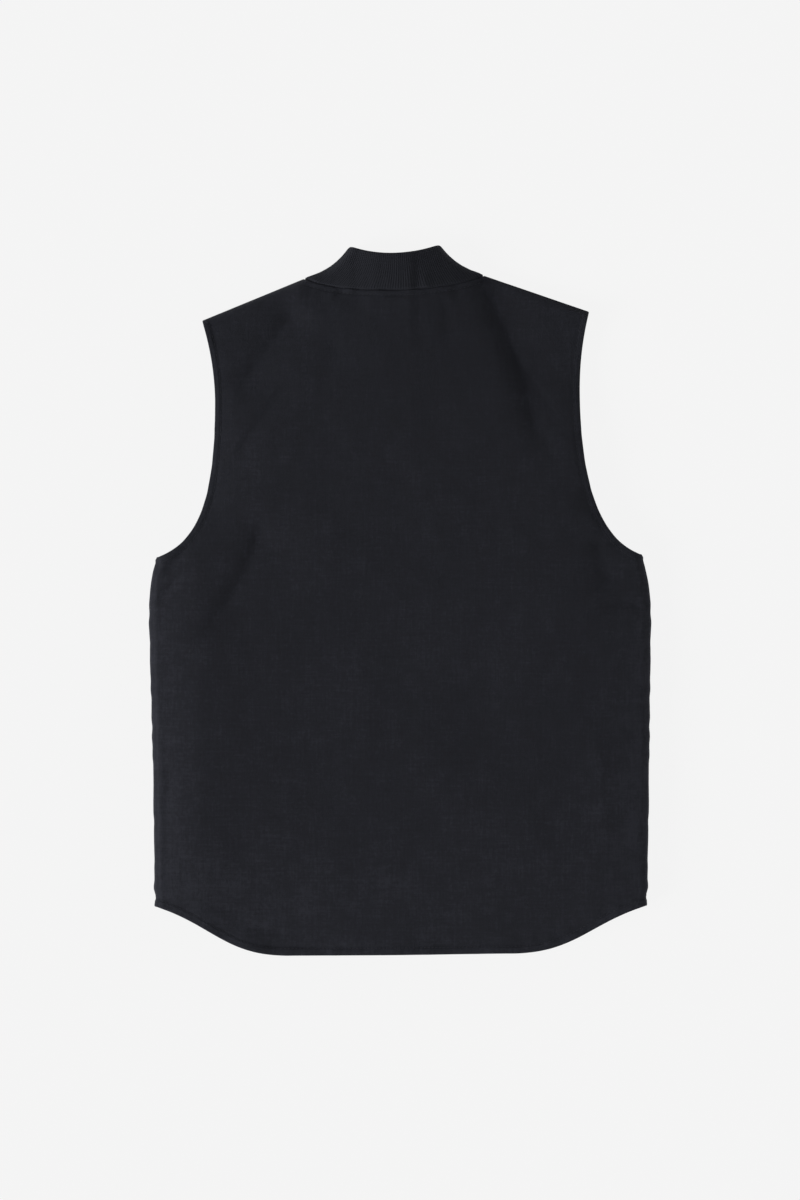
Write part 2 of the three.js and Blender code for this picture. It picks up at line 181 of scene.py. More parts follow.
# Small gathers below the neck seam, and the x between which they are full
GATHERS = SimpleNamespace(
    across=9.0,
    along=90.0,
    height=0.45,
    reach=70.0,
    spread=260.0,
    full_left=-70.0,
    full_right=60.0,
    seed=21,
)

# Turned and sewn edges: width up to the stitch row, rise of the doubled cloth, depth of the stitch groove
ARMHOLE_BAND = SimpleNamespace(width=6.6, rise=0.6, groove=0.6, pucker=0.45, seed=31)
HEM_BAND = SimpleNamespace(width=7.8, rise=0.4, groove=0.25, pucker=0.5, seed=32)
NECK_BAND = SimpleNamespace(width=5.2, rise=0.5, groove=0.8, pucker=0.9, seed=33)
SIDE_BAND = SimpleNamespace(width=3.6, rise=0.35, groove=0.5, pucker=0.5, seed=34)
FRONT_GROOVE = 1.2
GROOVE_WIDTH = 1.0
BAND_EASE = 1.6
BAND_END = 6.0
PUCKER = SimpleNamespace(length=10.0, reach=13.0)
EDGE_ROUND = 1.4
SEAM_ROUND = EDGE_ROUND / 4
THIN_EDGE = 0.12
THIN_SEAM = 0.6
EDGE_WEAR = SimpleNamespace(edge=0.5, reach=1.6, band=0.25, ease=1.0)

# Rib knit
RIB = SimpleNamespace(pitch=2.4, height=0.42, columns=6, sharp=0.7, ease=2.5)
KNIT_ROUND = 2.2
COLLAR_TUCK = SimpleNamespace(reach=3.4, depth=2.7, thin=0.5, low=-0.6, up=2.2)
KNIT_WEAR = SimpleNamespace(rim=0.5, reach=2.5, ridge=0.2)

# Sewing thread, and the rings of a stitch: share of its length, share of its radius, lift
STITCH = SimpleNamespace(pitch=4.0, length=3.3, radius=0.33, sides=6, trim=4.0, hem_trim=8.0)
STITCH_RINGS = [(0.0, 0.4, -0.3), (0.18, 0.9, 0.08), (0.5, 1.0, 0.2), (0.82, 0.9, 0.08), (1.0, 0.4, -0.3)]

# Grids
ROLL_ANGLES = np.radians([0, 3, 7, 12, 17, 23, 29, 36, 43, 50, 58, 66, 74, 82, 90])
ROLL_STEPS = FOLD_RADIUS * (1 - np.cos(ROLL_ANGLES))
EDGE_STEPS = np.array(
    [0, 0.12, 0.4, 0.85, 1.4, 2.2, 3.2, 4.2, 5.2, 6.0, 6.7, 7.3, 7.9, 8.6, 9.6, 11.2, 13.6]
)
NECK_STEPS = EDGE_STEPS[:6]
RIM_STEPS = np.array([0, 0.1, 0.35, 0.8, 1.4, 2.2])
BACK_STEP = 3.4
FRONT_STEP = 6.0
COLLAR_STEP = 1.6
COLLAR_SAMPLES = 3000
CURVE_SAMPLES = 700
POINTS_AT_ONCE = 2000
LATTICE = 64
RAY_HEIGHT = 100.0

# Paler places of the washed cloth; those along the left and right edges and across the lower part are painted
# light, and the one darker place below the neck is painted shade
WASH_AND_PAINTED_LIGHT = [
    dict(x=-85, y=-92, across=52, along=42, strength=0.5),
    dict(x=80, y=-70, across=55, along=20, strength=0.45),
    dict(x=-30, y=-135, across=40, along=60, strength=0.25),
    # Painted light: the next eight spots, along the left and right edges and across the lower part
    dict(x=40, y=-290, across=150, along=40, strength=0.3),
    dict(x=-150, y=-250, across=80, along=90, strength=0.25),
    dict(x=205, y=-210, across=30, along=90, strength=0.3),
    dict(x=245, y=-270, across=34, along=110, strength=0.9),
    dict(x=260, y=-90, across=16, along=190, strength=1.0),
    dict(x=-185, y=-325, across=75, along=45, strength=0.8),
    dict(x=-255, y=-140, across=34, along=200, strength=0.9),
    dict(x=0, y=-340, across=300, along=110, strength=0.4),
    dict(x=-150, y=150, across=50, along=40, strength=0.2),
    # Painted shade below the neck
    dict(x=10, y=262, across=120, along=75, strength=-0.7),
]

# Looks: tones from dark to pale, noise layers by stretch, detail and roughness, and how much each layer
# counts in the tone, the bump and the roughness
CLOTH_GLOSS = SimpleNamespace(specular=0.2, sheen=0.03, sheen_roughness=0.45, sheen_tint=(0.75, 0.8, 1.0, 1))
CANVAS_LOOK = SimpleNamespace(
    tones=[
        (0.2, (0.0042, 0.0047, 0.0077)),
        (0.55, (0.0062, 0.0068, 0.0105)),
        (0.9, (0.0115, 0.0122, 0.0174)),
    ],
    noise=dict(
        broad=((0.011, 0.011, 1), 3.0, 0.55),
        patchy=((0.055, 0.045, 1), 4.0, 0.7),
        fine=((0.3, 0.26, 1), 3.0, 0.6),
        weft=((0.028, 0.34, 1), 3.0, 0.8),
        warp=((0.34, 0.022, 1), 3.0, 0.8),
    ),
    yarn=dict(weft=0.5, warp=0.5),
    tone=dict(broad=0.4, patchy=1.0, fine=0.85, yarn=1.75, wear_and_painted_light=0.22),
    tone_shift=1.54,
    weave=SimpleNamespace(across=0.9, along=0.8),
    bump=dict(weave=0.5, yarn=1.2, fine=1.5),
    bump_depth=0.22,
    roughness=dict(patchy=0.1, yarn=0.08, even=0.8),
)
KNIT_TONES = [
    (0.1, (0.0051, 0.0056, 0.0085)),
    (0.5, (0.0074, 0.0081, 0.0117)),
    (0.9, (0.0117, 0.0126, 0.0172)),
]
KNIT_LOOK = SimpleNamespace(
    tones=KNIT_TONES,
    noise=dict(
        patchy=((0.06, 0.06, 1), 3.0, 0.6),
        fluff=((1.1, 0.5, 1), 3.0, 0.65),
    ),
    tone=dict(patchy=0.4, fluff=0.25, wear_and_painted_light=0.35),
    tone_shift=0.0,
    loops=SimpleNamespace(slant=0.7, height=1.5),
    bump=dict(loops=0.5, fluff=0.9),
    bump_depth=0.3,
    roughness=dict(patchy=0.08, even=0.84),
)
THREAD_LOOK = SimpleNamespace(
    tones=KNIT_TONES,
    noise=dict(fluff=((0.8, 0.8, 0.8), 2.0)),
    tone=dict(fluff=0.7, twist=0.1),
    tone_shift=0.0,
    twist=0.5,
    bump=dict(twist=0.5, fluff=0.4),
    bump_depth=0.1,
    roughness=0.7,
)
ZIP_LOOK = SimpleNamespace(
    tones=[
        (0.3, (0.0075, 0.008, 0.0105)),
        (0.7, (0.0125, 0.0135, 0.0175)),
    ],
    noise=dict(
        grain=((0.9, 0.9, 0.9), 3.0),
        smear=((0.12, 0.05, 0.1), 2.0),
    ),
    tone=dict(grain=0.5, smear=0.5),
    bump_strength=0.5,
    bump_depth=0.1,
    smear_roughness=0.2,
    tape_roughness=0.7,
    metal_roughness=0.35,
)

# Stage, in metres
FLOOR = SimpleNamespace(glow=0.884, grey=0.02, half=40.0, drop=0.0003)
BACKDROP = SimpleNamespace(glow=0.905, grey=0.0, radius=38.0, sides=96)
KEY_LIGHT = SimpleNamespace(place=(-5.3, -2.0, 2.5), spread=26, strength=5.6)
FILL_LIGHT = SimpleNamespace(place=(5.0, 0.9, 0.3), spread=40, strength=2.6)
ROOM_LIGHT = 0.32
CAMERA = SimpleNamespace(lens=120.0, sensor=36.0, view_height=1.272, outline_z=0.014, clip_end=200.0)


def vec(x, y):
    return np.array([x, y], float)


def lerp(a, b, t):
    return a + (b - a) * t


def smoothstep(value, low, high):
    t = np.clip((value - low) / (high - low), 0, 1)
    return t * t * (3 - 2 * t)


# A column of a table as a smooth function of its first column
def smooth_column(table, column):
    at = table[:, 0]
    values = table[:, column]
    slopes = np.diff(values) / np.diff(at)
    tangents = np.concatenate([slopes[:1], (slopes[:-1] + slopes[1:]) / 2, slopes[-1:]])

    def curve(place):
        place = np.clip(place, at[0], at[-1])
        k = np.clip(np.searchsorted(at, place) - 1, 0, len(at) - 2)
        span = at[k + 1] - at[k]
        t = (place - at[k]) / span
        ends = values[k] * (1 - smoothstep(t, 0, 1)) + values[k + 1] * smoothstep(t, 0, 1)
        lean = tangents[k] * (t**3 - 2 * t**2 + t) + tangents[k + 1] * (t**3 - t**2)
        return ends + lean * span

    return curve


LEFT = SimpleNamespace(
    label="left",
    sign=-1,
    reach=smooth_column(SIDES, 1),
    hem_y=-325.0,
    hem_low=vec(-119, -376.5),
    underarm_y=45.0,
    narrow=vec(-195.8, 206),
    tip=vec(-209.4, 295),
    neck=vec(-101.2, 339.5),
    flare_width=49.7,
)
RIGHT = SimpleNamespace(
    label="right",
    sign=1,
    reach=smooth_column(SIDES, 2),
    hem_y=-324.0,
    hem_low=vec(119, -374),
    underarm_y=48.0,
    narrow=vec(190.6, 222),
    tip=vec(200.3, 304.6),
    neck=vec(88.5, 343.3),
    flare_width=48.2,
)
EDGES = [LEFT, RIGHT]
BACK_WIDTH = float(LEFT.reach(0.0) + RIGHT.reach(0.0))
BACK_LENGTH = LEFT.neck[1] - LEFT.hem_low[1]
HEM_FOOT_Y = (LEFT.hem_low[1] + RIGHT.hem_low[1]) / 2

# Handles of the outline's curves, as in the part
HEM_LOW_HANDLE = 66.0
HEM_CORNER_HANDLE = vec(59, -17)
UNDERARM_HANDLE = vec(43, 15)
NARROW_HANDLE = 102.0
UPPER_HANDLE = 44.0
NECK_HANDLES = (vec(-62, 322.5), vec(45, 322.5))
FLARE = SimpleNamespace(slope=0.324, bend=0.000151)
FRONT_NECK_HANDLES = SimpleNamespace(side=vec(5, -64), middle=52.0)
FRONT_RIM_HANDLES = SimpleNamespace(side=vec(0, -63), middle=34.0)

# Pulls down the middle of the collar's top edge, a little further than in the part
COLLAR_DIP = vec(-8, 358.6)


# Curves are functions from shares, 0 to 1, to points of the plan
def straight(start, end):
    return lambda t: lerp(start, end, np.asarray(t)[..., None])


def bent(start, handle, end):
    def curve(t):
        t = np.asarray(t)[..., None]
        return (1 - t) ** 2 * start + 2 * (1 - t) * t * handle + t**2 * end

    return curve


def swept(start, start_handle, end_handle, end):
    def curve(t):
        t = np.asarray(t)[..., None]
        first = (1 - t) ** 3 * start + 3 * (1 - t) ** 2 * t * start_handle
        return first + 3 * (1 - t) * t**2 * end_handle + t**3 * end

    return curve


def backwards(curve):
    return lambda t: curve(1 - np.asarray(t))


# Curves end to end: each link is the share at which it ends, and its curve
def chain(*links):
    def curve(t):
        t = np.asarray(t, float)
        points = np.zeros(t.shape + (2,))
        low = 0.0
        for high, link in links:
            inside = (t >= low) & (t <= high)
            points[inside] = link((t[inside] - low) / (high - low))
            low = high
        return points

    return curve


# A plan surface between four curves, pulled out to the left and right ones near those
def patch(bottom, top, left, right):
    def between(u, v):
        return lerp(bottom(u), top(u), v[..., None])

    def surface(u, v):
        at_left = left(v) - between(np.zeros_like(u), v)
        at_right = right(v) - between(np.ones_like(u), v)
        pulled = at_left * ((1 - u) ** PULL_POWER)[..., None] + at_right * (u**PULL_POWER)[..., None]
        return between(u, v) + pulled

    return surface


def offset(edge, point, step):
    return vec(point[0] - edge.sign * step[0], point[1] + step[1])


# Curves of the outline, as in the part
def side_seam(edge):
    def curve(t):
        y = lerp(edge.hem_y, edge.underarm_y, np.asarray(t, float))
        return np.stack([edge.sign * edge.reach(y), y], axis=-1)

    return curve


def armhole(edge, setback):
    underarm = side_seam(edge)(1.0)
    narrow = offset(edge, edge.narrow, vec(setback, 0))
    lower_handle = offset(edge, underarm, UNDERARM_HANDLE)
    narrow_handle = offset(edge, narrow, vec(0, -NARROW_HANDLE))
    upper_handle = offset(edge, narrow, vec(0, UPPER_HANDLE))
    lower = swept(underarm, lower_handle, narrow_handle, narrow)
    return chain((NARROW_SHARE, lower), (1, bent(narrow, upper_handle, edge.tip)))


def hem_corner(edge):
    corner = side_seam(edge)(0.0)
    corner_handle = offset(edge, corner, HEM_CORNER_HANDLE)
    low_handle = offset(edge, edge.hem_low, vec(-HEM_LOW_HANDLE, 0))
    return swept(corner, corner_handle, low_handle, edge.hem_low)


def shoulder(edge):
    return straight(edge.tip, edge.neck)


def flare_height(inward):
    return FLARE.slope * inward + FLARE.bend * inward**3


def collar_fold(edge):
    def curve(t):
        inward = np.asarray(t, float) * edge.flare_width
        x = edge.neck[0] - edge.sign * inward
        return np.stack([x, edge.neck[1] + flare_height(inward)], axis=-1)

    return curve


def front_edge(edge, y):
    return vec(CENTRE_FRONT_X + edge.sign * (ZIP.width / 2 + SEWN_GAP), y)


def back_neck():
    return swept(LEFT.neck, *NECK_HANDLES, RIGHT.neck)


def front_neck(edge):
    end = front_edge(edge, FRONT_NECK_Y)
    side_handle = offset(edge, edge.neck, FRONT_NECK_HANDLES.side)
    return swept(edge.neck, side_handle, offset(edge, end, vec(-FRONT_NECK_HANDLES.middle, 0)), end)


def front_rim(edge):
    corner = collar_fold(edge)(1.0)
    end = front_edge(edge, FRONT_RIM_Y)
    side_handle = offset(edge, corner, FRONT_RIM_HANDLES.side)
    return swept(corner, side_handle, offset(edge, end, vec(-FRONT_RIM_HANDLES.middle, 0)), end)


def back_hem():
    middle = straight(LEFT.hem_low, RIGHT.hem_low)
    corners = hem_corner(LEFT), backwards(hem_corner(RIGHT))
    return chain((BACK_NECK_SHARE, corners[0]), (1 - BACK_NECK_SHARE, middle), (1, corners[1]))


def front_hem(edge):
    end = front_edge(edge, HEM_FOOT_Y)
    full = chain((FRONT_NECK_SHARE, hem_corner(edge)), (1, straight(edge.hem_low, end)))

    def curve(t):
        points = full(t)
        points[..., 1] += FRONT_HEM_LIFT * smoothstep(np.asarray(t), 0, FRONT_NECK_SHARE)
        return points

    return curve


# Distances in from the folded edges of the flattened vest
def side_distance(edge, x, y):
    return edge.reach(y) - edge.sign * x


def top_distance(edge, x, y):
    inward = edge.sign * (edge.neck[0] - x)
    slope = (edge.neck[1] - edge.tip[1]) / abs(edge.neck[0] - edge.tip[0])
    rise = np.where(inward < 0, slope * inward, flare_height(inward))
    return (edge.neck[1] + rise - y) / math.hypot(1, slope)


def over_edges(x, y, profile):
    product = 1.0
    for edge in EDGES:
        product = product * profile(side_distance(edge, x, y)) * profile(top_distance(edge, x, y))
    return product


def roll(distance):
    return np.sqrt(1 - (1 - np.clip(distance / FOLD_RADIUS, 0, 1)) ** 2)


def swell(distance):
    return 1 - np.exp(-np.maximum(distance, 0) / CROWN_REACH)


# Smooth seeded unevenness of about unit height, with one bump to a cell
def unevenness(across, along, seed):
    lattice = np.random.default_rng(seed).standard_normal((LATTICE, LATTICE))
    column = np.floor(across).astype(int)
    row = np.floor(along).astype(int)
    s = smoothstep(across - column, 0, 1)
    t = smoothstep(along - row, 0, 1)
    left, right = column % LATTICE, (column + 1) % LATTICE
    low, high = row % LATTICE, (row + 1) % LATTICE
    bottom = lerp(lattice[low, left], lattice[low, right], s)
    top = lerp(lattice[high, left], lattice[high, right], s)
    return lerp(bottom, top, t)


# How deep the valleys of a table of folds are at each point
def valleys(x, y, folds, shape):
    depth = np.zeros_like(x)
    for fold in folds:
        start = vec(*fold["start"])
        run = vec(*fold["end"]) - start
        length = math.hypot(*run)
        along = ((x - start[0]) * run[0] + (y - start[1]) * run[1]) / length**2
        across = (run[0] * (y - start[1]) - run[1] * (x - start[0])) / length
        middle = np.clip(along, 0, 1)
        across = across - fold["bow"] * 4 * middle * (1 - middle)
        width = np.where(across > 0, fold["right"], fold["left"])
        away = np.hypot(across, shape.blunt) - shape.blunt
        strength = smoothstep(along, 0, shape.fade[0]) * smoothstep(1 - along, 0, shape.fade[1])
        depth += fold["depth"] * strength * np.exp(-((away / width) ** shape.power))
    return depth


# Small gathers that fan out below the neck seam
def gathers(x, y):
    line = back_neck()(np.linspace(0, 1, CURVE_SAMPLES))
    below = np.interp(x, line[:, 0], line[:, 1]) - y
    fan = x / (1 + np.maximum(below, 0) / GATHERS.spread)
    strength = np.exp(-((below / GATHERS.reach) ** 2))
    strength = strength * smoothstep(x, LEFT.neck[0], GATHERS.full_left)
    strength = strength * smoothstep(-x, -RIGHT.neck[0], -GATHERS.full_right)
    return GATHERS.height * strength * unevenness(fan / GATHERS.across, below / GATHERS.along, GATHERS.seed)


def laid_waves(x, y):
    height = gathers(x, y)
    for wave in WAVES:
        height = height + wave["height"] * unevenness(x / wave["across"], y / wave["along"], wave["seed"])
    return height


# The left side lies in a slope up to a soft ridge
def left_press(x, y):
    press = LEFT_PRESS
    inward = np.maximum(side_distance(LEFT, x, y), 0)
    slope = inward / press.ridge
    beyond = np.exp(-np.maximum(inward - press.ridge, 0) / press.fade)
    profile = slope * beyond / (slope**press.blend + beyond**press.blend) ** (1 / press.blend)
    sunk = lerp(press.foot_share, 1, smoothstep(y, *press.foot))
    return press.height * profile * (1 - smoothstep(y, *press.top)) * sunk


def back_height(x, y):
    lift = FOLD_RADIUS - valleys(x, y, FOLDS, FOLD_SHAPE)
    small = laid_waves(x, y) + left_press(x, y) - valleys(x, y, CREASES, CREASE_SHAPE)
    crown = CROWN * over_edges(x, y, swell)
    return SEAM_Z + SEWN_GAP / 2 + over_edges(x, y, roll) * (lift + small) + crown


def front_height(x, y, thickness):
    return lerp(SEAM_Z - SEWN_GAP / 2, thickness / 2, over_edges(x, y, roll))


def armhole_sag(u, v):
    sag = ARMHOLE_SAG
    by_armhole = smoothstep(v, UNDERARM_SHARE, sag.full_from) * smoothstep(1 - v, 0, 1 - sag.full_to)
    near = np.exp(-u * BACK_WIDTH / sag.reach) + np.exp((u - 1) * BACK_WIDTH / sag.reach)
    return sag.depth * by_armhole * near


def hem_sag(u, v):
    from_sides = smoothstep(np.minimum(u, 1 - u), 0, HEM_SAG.full_from)
    wave = HEM_WAVE.height * np.sin(2 * math.pi * (HEM_WAVE.count * u + HEM_WAVE.start))
    return (HEM_SAG.depth - wave) * from_sides * np.exp(-v * BACK_LENGTH / HEM_SAG.reach)


# How far points of the plan are from a curve, and how far along it
def beside(curve, x, y):
    line = curve(np.linspace(0, 1, CURVE_SAMPLES))
    tangent = np.gradient(line, axis=0)
    tangent /= np.linalg.norm(tangent, axis=1, keepdims=True)
    steps = np.linalg.norm(np.diff(line, axis=0), axis=1)
    length = np.concatenate([[0], np.cumsum(steps)])
    points = np.stack([x.ravel(), y.ravel()], axis=1)
    parts = np.array_split(points, 1 + len(points) // POINTS_AT_ONCE)
    nearest = np.concatenate([((p[:, None] - line) ** 2).sum(-1).argmin(1) for p in parts])
    away = points - line[nearest]
    towards = tangent[nearest]
    along = length[nearest] + (away * towards).sum(1)
    square = np.abs(away[:, 0] * towards[:, 1] - away[:, 1] * towards[:, 0])
    at_end = (nearest == 0) | (nearest == CURVE_SAMPLES - 1)
    distance = np.where(at_end, np.linalg.norm(away, axis=1), square)
    return distance.reshape(x.shape), along.reshape(x.shape)


# Relief of a turned edge: raised up to its stitch row, a groove there, and puckers along it
def turned_edge(band, away, along):
    rise = band.rise * (1 - smoothstep(away, band.width - BAND_EASE, band.width + BAND_EASE))
    groove = band.groove * np.exp(-(((away - band.width) / GROOVE_WIDTH) ** 2))
    near = np.exp(-((np.maximum(away - band.width, 0) / PUCKER.reach) ** 2))
    ripple = unevenness(along / PUCKER.length, away / PUCKER.reach, band.seed)
    return rise - groove + band.pucker * near * ripple


def rounded_edge(away, radius):
    share = 1 - np.clip(away / radius, 0, 1)
    return np.maximum(np.sqrt(1 - share**2), THIN_EDGE)


# A folded edge with a seam along it keeps most of its thickness
def seam_edge(away):
    return np.maximum(rounded_edge(away, SEAM_ROUND), THIN_SEAM)


# Lists of shares for the grids
def graded(length, step, start, end):
    count = round((length - start[-1] - end[-1]) / step)
    middle = np.linspace(start[-1], length - end[-1], count + 1)
    return np.concatenate([start[:-1], middle, (length - end[::-1])[1:]]) / length


# A mesh object from rows of points in millimetres, with values for its materials
def mesh_object(name, points, faces, values):
    mesh = bpy.data.meshes.new(name)
    mesh.from_pydata((points * METRE).tolist(), [], faces)
    for label, data in values.items():
        kind = "FLOAT_VECTOR" if data.ndim == 2 else "FLOAT"
        field = "vector" if data.ndim == 2 else "value"
        layer = mesh.attributes.new(label, kind, "POINT")
        layer.data.foreach_set(field, data.astype(np.float32).ravel())
    mesh.polygons.foreach_set("use_smooth", np.ones(len(mesh.polygons), bool))
    mesh.update()
    piece = bpy.data.objects.new(name, mesh)
    bpy.context.scene.collection.objects.link(piece)
    return piece


def grid_normals(points):
    normal = np.cross(np.gradient(points, axis=1), np.gradient(points, axis=0))
    return normal / np.linalg.norm(normal, axis=-1, keepdims=True)


# Faces between two layers of a grid, with rims round the border
def wall_faces(rows, columns):
    index = np.arange(rows * columns).reshape(rows, columns)
    below = index + rows * columns

    def quads(a, b, c, d):
        return np.stack([a.ravel(), b.ravel(), c.ravel(), d.ravel()], axis=1)

    parts = [
        quads(index[:-1, :-1], index[:-1, 1:], index[1:, 1:], index[1:, :-1]),
        quads(below[:-1, :-1], below[1:, :-1], below[1:, 1:], below[:-1, 1:]),
        quads(below[0, :-1], below[0, 1:], index[0, 1:], index[0, :-1]),
        quads(index[-1, :-1], index[-1, 1:], below[-1, 1:], below[-1, :-1]),
        quads(index[:-1, 0], index[1:, 0], below[1:, 0], below[:-1, 0]),
        quads(below[:-1, -1], below[1:, -1], index[1:, -1], index[:-1, -1]),
    ]
    return np.concatenate(parts).tolist()


# A sheet with a thickness: relief moves its upper face, and under_relief its lower one
def wall(name, middle, thickness, relief, under_relief, values):
    rows, columns = middle.shape[:2]
    normal = grid_normals(middle)
    upper = middle + normal * (thickness / 2 + relief)[..., None]
    lower = middle - normal * (thickness / 2 + under_relief)[..., None]
    points = np.concatenate([upper.reshape(-1, 3), lower.reshape(-1, 3)])
    doubled = {}
    for label, data in values.items():
        flat = data.reshape(rows * columns, -1)
        both = np.concatenate([flat, flat])
        doubled[label] = both if both.shape[1] > 1 else both[:, 0]
    return mesh_object(name, points, wall_faces(rows, columns), doubled)


# How much longer the cloth of a rolled edge is than its plan, beyond a distance in from the edge
def roll_excess(distance):
    turned = np.arccos(np.clip(1 - distance / FOLD_RADIUS, -1, 1))
    return FOLD_RADIUS * (math.pi / 2 - 1) - (FOLD_RADIUS * turned - distance)


# Plan coordinates with the rolled edges laid flat, for the weave
def flat_cloth(x, y):
    flat_x = x.copy()
    flat_y = y.copy()
    for edge in EDGES:
        side = np.clip(side_distance(edge, x, y), 0, FOLD_RADIUS)
        top = np.clip(top_distance(edge, x, y), 0, FOLD_RADIUS)
        flat_x += edge.sign * roll_excess(side)
        flat_y += roll_excess(top)
    return np.stack([flat_x, flat_y, np.zeros_like(x)], axis=-1)


# Paleness of washed patches, with painted light along the edges and lower part and painted shade below the
# neck
def wash_and_painted_light(x, y):
    pale = np.zeros_like(x)
    for spot in WASH_AND_PAINTED_LIGHT:
        across = (x - spot["x"]) / spot["across"]
        along = (y - spot["y"]) / spot["along"]
        pale += spot["strength"] * np.exp(-(across**2) - along**2)
    return pale


# Paler wear along an edge, and over the doubled cloth beside it
def edge_wear(away):
    return EDGE_WEAR.edge * np.exp(-((away / EDGE_WEAR.reach) ** 2))


def band_wear(band, away):
    return EDGE_WEAR.band * (1 - smoothstep(away, band.width - EDGE_WEAR.ease, band.width + EDGE_WEAR.ease))


# Back of the vest
def back_panel():
    columns = graded(BACK_WIDTH, BACK_STEP, ROLL_STEPS, ROLL_STEPS)
    rows = graded(BACK_LENGTH, BACK_STEP, EDGE_STEPS, ROLL_STEPS)
    u, v = np.meshgrid(columns, rows)
    neck_left, neck_right = BACK_NECK_SHARE, 1 - BACK_NECK_SHARE
    top = chain((neck_left, shoulder(LEFT)), (neck_right, back_neck()), (1, backwards(shoulder(RIGHT))))
    left = chain((UNDERARM_SHARE, side_seam(LEFT)), (1, armhole(LEFT, 0)))
    right = chain((UNDERARM_SHARE, side_seam(RIGHT)), (1, armhole(RIGHT, 0)))
    plan = patch(back_hem(), top, left, right)(u, v)
    x, y = plan[..., 0], plan[..., 1]
    height = back_height(x, y) - armhole_sag(u, v) - hem_sag(u, v)
    middle = np.stack([x, y, height], axis=-1)
    relief = np.zeros_like(x)
    # Paleness of the cloth: wear and washed patches, with painted light along the edges and lower part and
    # painted shade below the neck
    wear_and_painted_light = wash_and_painted_light(x, y)
    rounding = np.ones_like(x)
    edges = [
        (ARMHOLE_BAND, armhole(LEFT, 0)),
        (ARMHOLE_BAND, armhole(RIGHT, 0)),
        (HEM_BAND, back_hem()),
        (NECK_BAND, back_neck()),
        (SIDE_BAND, side_seam(LEFT)),
        (SIDE_BAND, side_seam(RIGHT)),
    ]
    for band, curve in edges:
        away, along = beside(curve, x, y)
        relief += turned_edge(band, away, along)
        wear_and_painted_light += edge_wear(away) + band_wear(band, away)
        rounding *= seam_edge(away) if band is SIDE_BAND else rounded_edge(away, EDGE_ROUND)
    for edge in EDGES:
        away, _ = beside(shoulder(edge), x, y)
        rounding *= seam_edge(away)
        relief *= smoothstep(top_distance(edge, x, y), 0, BAND_END)
    values = {"cloth": flat_cloth(x, y), "wear_and_painted_light": wear_and_painted_light}
    return wall("back_cloth", middle, CLOTH * rounding, relief * rounding, np.zeros_like(x), values)


# Front panels: their outer face is the lower one, so their edges have grooves there and no rise
def front_panel(edge):
    width = float(edge.reach(0.0))
    from_side = graded(width, FRONT_STEP, ROLL_STEPS, EDGE_STEPS)
    rows = graded(BACK_LENGTH, FRONT_STEP, EDGE_STEPS, ROLL_STEPS)
    mirrored = edge.sign > 0
    u, v = np.meshgrid(1 - from_side[::-1] if mirrored else from_side, rows)
    share = 1 - u if mirrored else u
    hem = front_hem(edge)
    top = chain((FRONT_NECK_SHARE, shoulder(edge)), (1, front_neck(edge)))
    side = chain((UNDERARM_SHARE, side_seam(edge)), (1, armhole(edge, FRONT_ARMHOLE_SETBACK)))
    closure = straight(hem(1.0), top(1.0))
    plan = patch(hem, top, side, closure)(share, v)
    x, y = plan[..., 0], plan[..., 1]
    middle = np.stack([x, y, front_height(x, y, CLOTH)], axis=-1)
    groove = np.zeros_like(x)
    # Paleness of the cloth: wear and washed patches, with painted light along the edges and lower part and
    # painted shade below the neck
    wear_and_painted_light = wash_and_painted_light(x, y)
    rounding = np.ones_like(x)
    free = [
        (ARMHOLE_BAND, armhole(edge, FRONT_ARMHOLE_SETBACK)),
        (HEM_BAND, hem),
        (NECK_BAND, front_neck(edge)),
        (ARMHOLE_BAND, closure),
    ]
    for band, curve in free:
        away, _ = beside(curve, x, y)
        groove += FRONT_GROOVE * np.exp(-(((away - band.width) / GROOVE_WIDTH) ** 2))
        rounding *= rounded_edge(away, EDGE_ROUND)
        wear_and_painted_light += edge_wear(away)
    for curve in (side_seam(edge), shoulder(edge)):
        away, _ = beside(curve, x, y)
        rounding *= seam_edge(away)
    values = {"cloth": flat_cloth(x, y), "wear_and_painted_light": wear_and_painted_light}
    sunk = -np.minimum(groove, FRONT_GROOVE) * rounding
    return wall(f"front_cloth_{edge.label}", middle, CLOTH * rounding, np.zeros_like(x), sunk, values)


# Collar: three patches from the neckline to the top edge, round the neck from the closure
def collar_surface():
    rim = bent(collar_fold(LEFT)(1.0), COLLAR_DIP, collar_fold(RIGHT)(1.0))
    back = patch(back_neck(), rim, collar_fold(LEFT), collar_fold(RIGHT))
    ends = {e.sign: straight(front_edge(e, FRONT_NECK_Y), front_edge(e, FRONT_RIM_Y)) for e in EDGES}
    left = patch(backwards(front_neck(LEFT)), backwards(front_rim(LEFT)), ends[-1], collar_fold(LEFT))
    right = patch(front_neck(RIGHT), front_rim(RIGHT), collar_fold(RIGHT), ends[1])

    def surface(u, level):
        section = np.clip(np.floor(u * 3), 0, 2)
        share = u * 3 - section
        plans = np.stack([part(share, level) for part in (left, back, right)])
        plan = np.take_along_axis(plans, section.astype(int)[None, ..., None], axis=0)[0]
        x, y = plan[..., 0], plan[..., 1]
        height = np.where(section == 1, back_height(x, y), front_height(x, y, KNIT + RIB.height))
        return np.stack([x, y, height], axis=-1)

    return surface


# Shares round the collar that space its ribs evenly on every row, the number of ribs and the length round
def rib_columns(surface, rows):
    dense = np.linspace(0, 1, COLLAR_SAMPLES)
    dense_u, dense_v = np.meshgrid(dense, rows)
    lengths = np.linalg.norm(np.diff(surface(dense_u, dense_v), axis=1), axis=-1)
    walked = np.concatenate([np.zeros((len(rows), 1)), np.cumsum(lengths, axis=1)], axis=1)
    around = float(walked[:, -1].mean())
    ribs = round(around / RIB.pitch)
    shares = np.linspace(0, 1, ribs * RIB.columns + 1)
    u = np.stack([np.interp(shares, row / row[-1], dense) for row in walked])
    return u, shares, ribs, around


